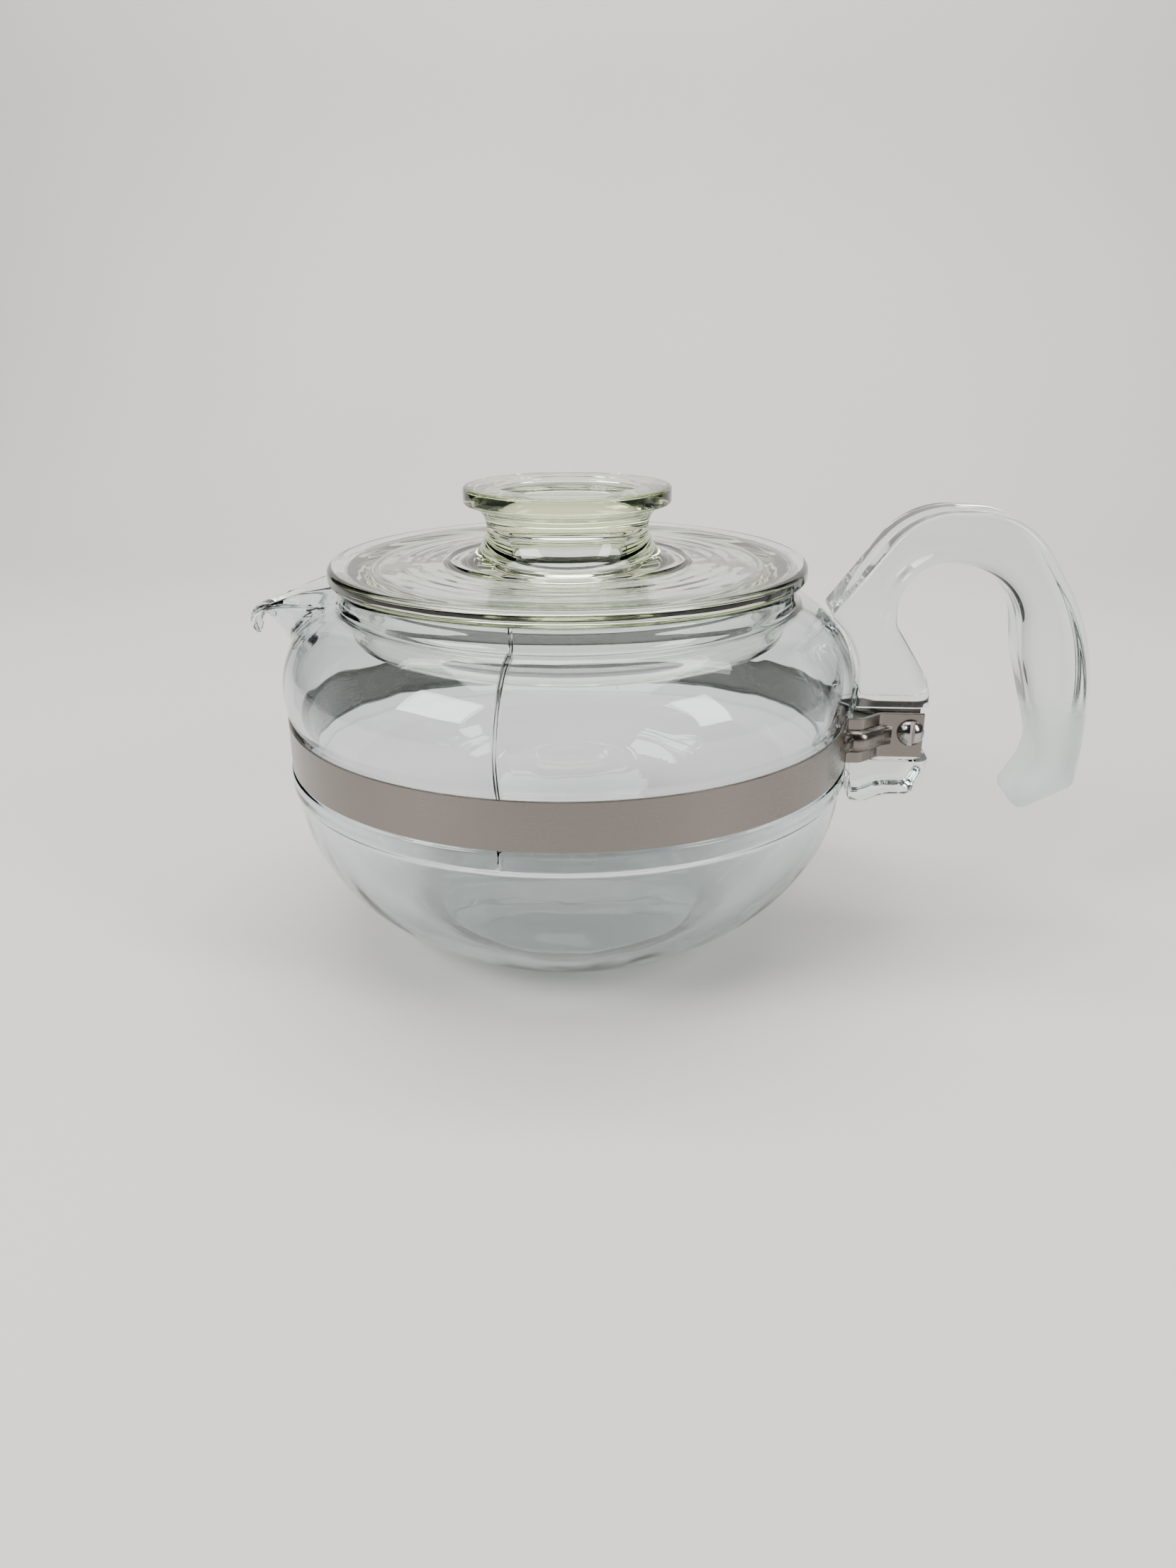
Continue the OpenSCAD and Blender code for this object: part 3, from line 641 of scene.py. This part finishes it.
def handle_ring(depth, extra=0.0):
    """Outline of the handle at a depth below its face, where each edge is drawn in along its own round."""
    p = [np.array(c[:2], float) for c in corners]
    rounds = [c[3] for c in corners]
    inset = [(0 if depth >= r else r - math.sqrt(r ** 2 - (r - depth) ** 2)) + extra for r in rounds]
    count = len(p)
    way = [(p[(i + 1) % count] - p[i]) / np.linalg.norm(p[(i + 1) % count] - p[i]) for i in range(count)]
    moved = []
    for i in range(count):
        n0, n1 = (np.array([-way[k][1], way[k][0]]) for k in (i - 1, i))
        det = cross(n0, n1)
        if abs(det) < 0.02:
            moved.append(p[i] + n1 * inset[i])
        else:
            moved.append(p[i] + np.array([inset[i - 1] * n1[1] - inset[i] * n0[1],
                                          n0[0] * inset[i] - n1[0] * inset[i - 1]]) / det)
    ring = []
    for i in range(count):
        size = corners[i][2]
        if size == 0:
            ring.append(moved[i])
            continue
        bend = cross(way[i - 1], way[i])
        pull = (inset[i - 1] + inset[i]) / 2
        radius = max(size - pull, 0.05) if bend > 0 else size + pull
        angle = math.degrees(math.acos(max(-1.0, min(1.0, float(way[i - 1] @ way[i])))))
        steps = math.ceil(angle / (2.5 if size > 8 else 9))
        ring += rounded(moved[i - 1], moved[i], moved[(i + 1) % count], radius, steps)
    return ring


depths = [GRIP * (1 - math.cos(math.radians(a))) for a in range(0, 91, 9)]
layers = [(0.0, 0.9), (0.0, 0.25)] + [(d, 0.0) for d in depths]
levels = [(HANDLE_T / 2 - d, handle_ring(d, e)) for d, e in layers]
levels += [(-y, ring) for y, ring in reversed(levels)]


def skinned(name, rings):
    """A closed skin through rings of the same number of points."""
    count = len(rings[0])
    points = [tuple(c * MM for c in q) for ring in rings for q in ring]
    faces = [tuple(range(count)), tuple(reversed(range(count * (len(rings) - 1), count * len(rings))))]
    for j in range(len(rings) - 1):
        for i in range(count):
            k = (i + 1) % count
            faces.append((j * count + i, (j + 1) * count + i, (j + 1) * count + k, j * count + k))
    mesh = bpy.data.meshes.new(name)
    mesh.from_pydata(points, [], faces)
    piece = bpy.data.objects.new(name, mesh)
    bpy.context.scene.collection.objects.link(piece)
    deselect()
    bpy.context.view_layer.objects.active = piece
    piece.select_set(True)
    bpy.ops.object.mode_set(mode="EDIT")
    bpy.ops.mesh.select_all(action="SELECT")
    bpy.ops.mesh.normals_make_consistent(inside=False)
    bpy.ops.object.mode_set(mode="OBJECT")
    return piece


handle = skinned("handle_glass", [[(q[0], y, q[1]) for q in ring] for y, ring in levels])


def cut(piece, cutter):
    """Cuts one object out of another and removes the cutter."""
    deselect()
    bpy.context.view_layer.objects.active = piece
    piece.select_set(True)
    knife = piece.modifiers.new("cut", "BOOLEAN")
    knife.operation = "DIFFERENCE"
    knife.solver = "EXACT"
    knife.object = cutter
    bpy.ops.object.modifier_apply(modifier=knife.name)
    bpy.data.objects.remove(cutter)


def block(low, high, bevel=0.0):
    """A box between two corners in millimetres, with its edges beveled."""
    deselect()
    middle = [(a + b) / 2 * MM for a, b in zip(low, high)]
    bpy.ops.mesh.primitive_cube_add(size=1.0, location=middle)
    box = bpy.context.object
    box.scale = [(b - a) * MM for a, b in zip(low, high)]
    bpy.ops.object.transform_apply(location=True, rotation=True, scale=True)
    if bevel:
        bpy.ops.object.mode_set(mode="EDIT")
        bpy.ops.mesh.select_all(action="SELECT")
        bpy.ops.mesh.bevel(offset=bevel * MM, segments=4)
        bpy.ops.object.mode_set(mode="OBJECT")
    return box


def rod(radius, low_y, high_y, sides=64):
    """A round bar along Y through the screw's place."""
    deselect()
    bpy.ops.mesh.primitive_cylinder_add(
        vertices=sides, radius=radius * MM, depth=(high_y - low_y) * MM,
        location=(SCREW_X * MM, (low_y + high_y) / 2 * MM, SCREW_Z * MM), rotation=(math.pi / 2, 0, 0))
    bar = bpy.context.object
    bpy.ops.object.transform_apply(location=True, rotation=True, scale=True)
    return bar


NOTCH_ROUND = 0.4
TONGUE_END = SCREW_X + 2.3
SLOT_R = 2.5
SLIVER = 0.01
for side in (-1, 1):
    y = sorted((side * TONGUE_T / 2, side * HANDLE_T))
    cut(handle, block((POT_R - 4, y[0], LEDGE_LOW), (WEB + 2, y[1], LEDGE_TOP), NOTCH_ROUND))
cut(handle, block((TONGUE_END, -TONGUE_T, LEDGE_LOW + SLIVER), (WEB + 4, TONGUE_T, LEDGE_TOP - SLIVER)))
cut(handle, rod(SLOT_R, -TONGUE_T, TONGUE_T))
cut(handle, block((SCREW_X, -TONGUE_T, SCREW_Z - SLOT_R), (WEB, TONGUE_T, SCREW_Z + SLOT_R)))
handle_glass = glass("handle_glass", (0.50, 0.68, 0.66), 15.0, 0.00035, 55.0, (1, 0.25, 0.45),
                     ground_tip={"heights": (0.060, 0.068), "from_x": (0.108, 0.112), "roughness": 0.6,
                                 "colour": (0.88, 0.97, 0.93)})
finish_piece(handle, "pot", "handle", handle_glass, 28)

# ---- The band ----
# One strip of thin stainless steel round the pot. Each end turns off the pot and bends in to lie flat on the
# handle as an ear. A half-round rib, pressed along its middle, stiffens the bends.

BAND_T = 0.7
BEAD_R = 2.4
EAR_STEPS = 34
band_low, band_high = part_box("clamp_band")
BAND_Z0, BAND_Z1 = float(band_low.z) / MM, float(band_high.z) / MM
BAND_MID = (BAND_Z0 + BAND_Z1) / 2
STRAP_Y = 13.85
STRAP_END = POT_R + 2.4
EAR_BEND = POT_R + 7.9
EAR_SHARE = 0.72
EAR_ROUND, STRAP_ROUND, POT_ROUND = 2.5, 2.0, 1.0
RIB_FADE = 3.7
EAR_HOLE_R = 2.2
EDGE_BREAK = 0.12
EAR_END = float(band_high.x) / MM
leave_x = math.sqrt((POT_R - BAND_T / 2) ** 2 - STRAP_Y ** 2)
ring_r = POT_R - BAND_T / 2
turns = [np.array(q, float) for q in ((EAR_END, EAR_MID), (EAR_BEND, EAR_MID), (STRAP_END, STRAP_Y),
                                      (leave_x + 0.2, STRAP_Y))]
leave = math.atan2(STRAP_Y, leave_x)
around = [ring_r * np.array([math.cos(a), math.sin(a)]) for a in np.linspace(leave + 0.02, math.pi, 110)]
half_path = [turns[0] + (turns[1] - turns[0]) * k for k in np.linspace(0, EAR_SHARE, EAR_STEPS)]
half_path += rounded(turns[0], turns[1], turns[2], EAR_ROUND, 10)
half_path += rounded(turns[1], turns[2], turns[3], STRAP_ROUND, 8)
half_path += rounded(turns[2], turns[3], around[0], POT_ROUND, 6) + around
path = half_path + [np.array([q[0], -q[1]]) for q in reversed(half_path[:-1])]
lengths = np.concatenate([[0], np.cumsum([np.linalg.norm(b - a) for a, b in zip(path, path[1:])])])
rib_start = lengths[EAR_STEPS - 1] + RIB_FADE
rib_end = lengths[len(half_path) - len(around)] - 0.6


def rib_height(along, across):
    """How far the pressed rib stands out, at a distance from the strip's end and from its middle."""
    along = min(along, lengths[-1] - along)
    ends = max(rib_start - along, along - rib_end, 0.0)
    reach = math.hypot(across, ends * 0.9) / (BEAD_R * 1.12)
    crown = math.sqrt(max(0.0, 1 - reach ** 2.4)) if reach < 1 else 0.0
    return (BEAD_R - BAND_T / 2) * crown


strip_points, strip_faces = [], []
heights = [BAND_Z0 + (BAND_Z1 - BAND_Z0) * k for k in np.linspace(0, 1, 41)]
for i, q in enumerate(path):
    run = path[min(i + 1, len(path) - 1)] - path[max(i - 1, 0)]
    out = np.array([run[1], -run[0]]) / np.linalg.norm(run)
    for z in heights:
        spot = q + out * rib_height(lengths[i], z - BAND_MID)
        strip_points.append((spot[0] * MM, spot[1] * MM, z * MM))
for i in range(len(path) - 1):
    for j in range(len(heights) - 1):
        a = i * len(heights) + j
        strip_faces.append((a, a + len(heights), a + len(heights) + 1, a + 1))
band_mesh = bpy.data.meshes.new("band")
band_mesh.from_pydata(strip_points, [], strip_faces)
band = bpy.data.objects.new("band", band_mesh)
bpy.context.scene.collection.objects.link(band)


def add_modifier(piece, kind, **settings):
    """Adds a modifier and applies it at once."""
    deselect()
    bpy.context.view_layer.objects.active = piece
    piece.select_set(True)
    modifier = piece.modifiers.new(kind.lower(), kind)
    for key, value in settings.items():
        setattr(modifier, key, value)
    bpy.ops.object.modifier_apply(modifier=modifier.name)


add_modifier(band, "SOLIDIFY", thickness=BAND_T * MM, offset=0.0)
for y in (-EAR_MID, EAR_MID):
    cut(band, rod(EAR_HOLE_R, y - 3, y + 3))
add_modifier(band, "BEVEL", width=EDGE_BREAK * MM, segments=2, limit_method="ANGLE",
             angle_limit=math.radians(50))


def steel(name, colour, roughness, lines, stretch, scale):
    """Bright steel with the fine lines of its rolling or turning, in a colour that clouds a little."""
    paint = Paint(name)
    place = paint.place()
    grain = paint.noise(place, scale, 3.0, 0.6, stretch)
    cloud = paint.noise(place, 45.0, 3.0)
    tone = paint.ramp(cloud * 0.6 + grain * 0.4, [(0.25, tuple(c * 0.9 for c in colour)), (0.75, colour)])
    rough = roughness * (0.75 + 0.5 * cloud) + 0.05 * grain
    surface = paint.node("ShaderNodeBsdfPrincipled", {}, {
        "Base Color": tone, "Metallic": 1.0, "Roughness": rough,
        "Normal": paint.bump(grain, lines)}, "BSDF")
    return paint.output(surface)


band_steel = steel("band_steel", (0.225, 0.203, 0.185), 0.24, 0.00001, (1, 1, 60), 90.0)
finish_piece(band, "pot", "clamp_band", band_steel, 40)

# ---- The screw and its nut ----
# A round-headed steel screw with a sawn slot goes through both ears and the slot in the glass, and a square
# nut holds it at the back. Neither has its thread modelled, as none of it shows.

HEAD_R = 3.6
HEAD_H = 2.6
HEAD_EDGE = 0.2
EAR_OUT = TONGUE_T / 2 + 0.8
SEAT_Y = -EAR_OUT - 0.05
SHANK_R = 2.0
TAIL_Y = float(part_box("clamp_screw")[1].y) / MM
TAIL_CHAMFER = 0.4
crown_h = HEAD_H - 0.5
cap_r = (HEAD_R ** 2 + crown_h ** 2) / (2 * crown_h)
screw_outline = (
    [(0, 0.0)] + line((0, 0.0), (HEAD_R - HEAD_EDGE, 0.0), 3)
    + arc(HEAD_R - HEAD_EDGE, HEAD_EDGE, HEAD_EDGE, HEAD_EDGE, -90, 0, 3)
    + arc(0, HEAD_H - cap_r, cap_r, cap_r, math.degrees(math.acos(HEAD_R / cap_r)) + 2, 90, 18))
screw = draw_outline("screw", screw_outline)
spin_sectors(screw, [(360, 96)])


def lay_on_side(piece, seat, way):
    """Turns a piece that was made along Z so that it points along Y at the screw's place."""
    deselect()
    bpy.context.view_layer.objects.active = piece
    piece.select_set(True)
    piece.matrix_world = Matrix.Translation((SCREW_X * MM, seat * MM, SCREW_Z * MM)) @ Matrix.Rotation(
        math.radians(90) * way, 4, "X")
    bpy.ops.object.transform_apply(location=True, rotation=True, scale=True)


lay_on_side(screw, SEAT_Y, 1)
SLOT_W = 1.3
SLOT_D = 1.7
saw_turn = math.radians(4)
saw = block((SCREW_X - SLOT_W / 2, SEAT_Y - HEAD_H - 1, SCREW_Z - 6),
            (SCREW_X + SLOT_W / 2, SEAT_Y - HEAD_H + SLOT_D, SCREW_Z + 6))
x, y, z = points_of(saw).T
x, z = x - SCREW_X, z - SCREW_Z
set_points(saw, np.stack([x * math.cos(saw_turn) + z * math.sin(saw_turn) + SCREW_X, y,
                          z * math.cos(saw_turn) - x * math.sin(saw_turn) + SCREW_Z], axis=1))
cut(screw, saw)
shank = rod(SHANK_R, SEAT_Y + 0.01, TAIL_Y, 48)
add_modifier(shank, "BEVEL", width=TAIL_CHAMFER * MM, segments=3, limit_method="ANGLE")
deselect()
shank.select_set(True)
screw.select_set(True)
bpy.context.view_layer.objects.active = screw
bpy.ops.object.join()
screw_steel = steel("screw_steel", (0.40, 0.385, 0.37), 0.14, 0.000004, (1, 1, 1), 900.0)
finish_piece(screw, "pot", "clamp_screw", screw_steel, 30)

nut_low, nut_high = (np.array(c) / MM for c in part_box("clamp_nut"))
NUT_CHAMFER = 0.35
THREAD_GAP = 0.05
nut = block(nut_low, nut_high, NUT_CHAMFER)
nut.name = "nut"
cut(nut, rod(SHANK_R + THREAD_GAP, nut_low[1] - 1, nut_high[1] + 1, 48))
nut_steel = steel("nut_steel", (0.58, 0.57, 0.56), 0.2, 0.000006, (1, 6, 1), 500.0)
finish_piece(nut, "pot", "clamp_nut", nut_steel, 30)

# ---- The floor, the light and the camera ----
# A pale floor that sweeps up behind the pot, in a dim room. One broad light hangs overhead, one like a window
# stands at each side, and one lights the sweep.

FLOOR_HALF = 0.76
FRONT_Y, COVE_Y, WALL_TOP = -0.9, 0.5, 1.3
COVE_R = 0.35
sweep = [(FRONT_Y, 0.0), (COVE_Y, 0.0)]
sweep += [(COVE_Y + COVE_R * math.sin(a), COVE_R - COVE_R * math.cos(a)) for a in np.radians(range(5, 91, 5))]
sweep += [(COVE_Y + COVE_R, WALL_TOP)]
floor_points = [(x, y, z) for y, z in sweep for x in (-FLOOR_HALF, FLOOR_HALF)]
floor_faces = [(2 * i, 2 * i + 1, 2 * i + 3, 2 * i + 2) for i in range(len(sweep) - 1)]
floor_mesh = bpy.data.meshes.new("floor")
floor_mesh.from_pydata(floor_points, [], floor_faces)
floor = bpy.data.objects.new("floor", floor_mesh)
bpy.context.scene.collection.objects.link(floor)
for face in floor_mesh.polygons:
    face.use_smooth = True
paper = Paint("floor_paper")
paper_tone = paper.ramp(paper.noise(paper.place(), 3.0),
                        [(0.3, (0.66, 0.64, 0.61)), (0.7, (0.70, 0.68, 0.65))])
floor_mesh.materials.append(paper.output(paper.node(
    "ShaderNodeBsdfPrincipled", {}, {"Base Color": paper_tone, "Roughness": 0.6}, "BSDF")))


def soft_light(name, place, aim, width, height, power):
    lamp = bpy.data.lights.new(name, "AREA")
    lamp.shape = "RECTANGLE"
    lamp.size, lamp.size_y = width, height
    lamp.energy = power
    holder = bpy.data.objects.new(name, lamp)
    bpy.context.scene.collection.objects.link(holder)
    holder.location = place
    holder.rotation_euler = (Vector(aim) - Vector(place)).to_track_quat("-Z", "Y").to_euler()


soft_light("overhead", (0.0, 0.05, 1.15), (0, 0.05, 0), 1.1, 0.9, 15.0)
soft_light("window_left", (-0.62, -0.50, 0.62), (0, 0, 0.05), 0.45, 0.40, 9.0)
soft_light("window_right", (0.70, -0.42, 0.50), (0, 0, 0.05), 0.22, 0.50, 5.0)
soft_light("back_wash", (0.0, 0.30, 1.0), (0, 0.85, 0.35), 1.4, 0.3, 7.0)

world = bpy.data.worlds.new("room")
bpy.context.scene.world = world
world.use_nodes = True
background = world.node_tree.nodes["Background"]
background.inputs["Color"].default_value = (0.75, 0.80, 0.88, 1.0)
background.inputs["Strength"].default_value = 0.04

CAMERA_AT = (0.0269, -0.3118, 0.1619)
LENS = 27.03
TURN = math.radians(4.0)
TILT = math.radians(21.64)
ROLL = math.radians(-0.22)
camera = bpy.data.objects.new("camera", bpy.data.cameras.new("camera"))
bpy.context.scene.collection.objects.link(camera)
camera.data.sensor_width = 36.0
camera.data.lens = LENS
camera.data.clip_start = 0.01
ahead = Vector((-math.sin(TURN) * math.cos(TILT), math.cos(TURN) * math.cos(TILT), -math.sin(TILT)))
right = Vector((math.cos(TURN), math.sin(TURN), 0.0))
above = right.cross(ahead)
look = Matrix((right, above, -ahead)).transposed().to_4x4()
camera.matrix_world = Matrix.Translation(CAMERA_AT) @ look @ Matrix.Rotation(ROLL, 4, "Z")
bpy.context.scene.camera = camera
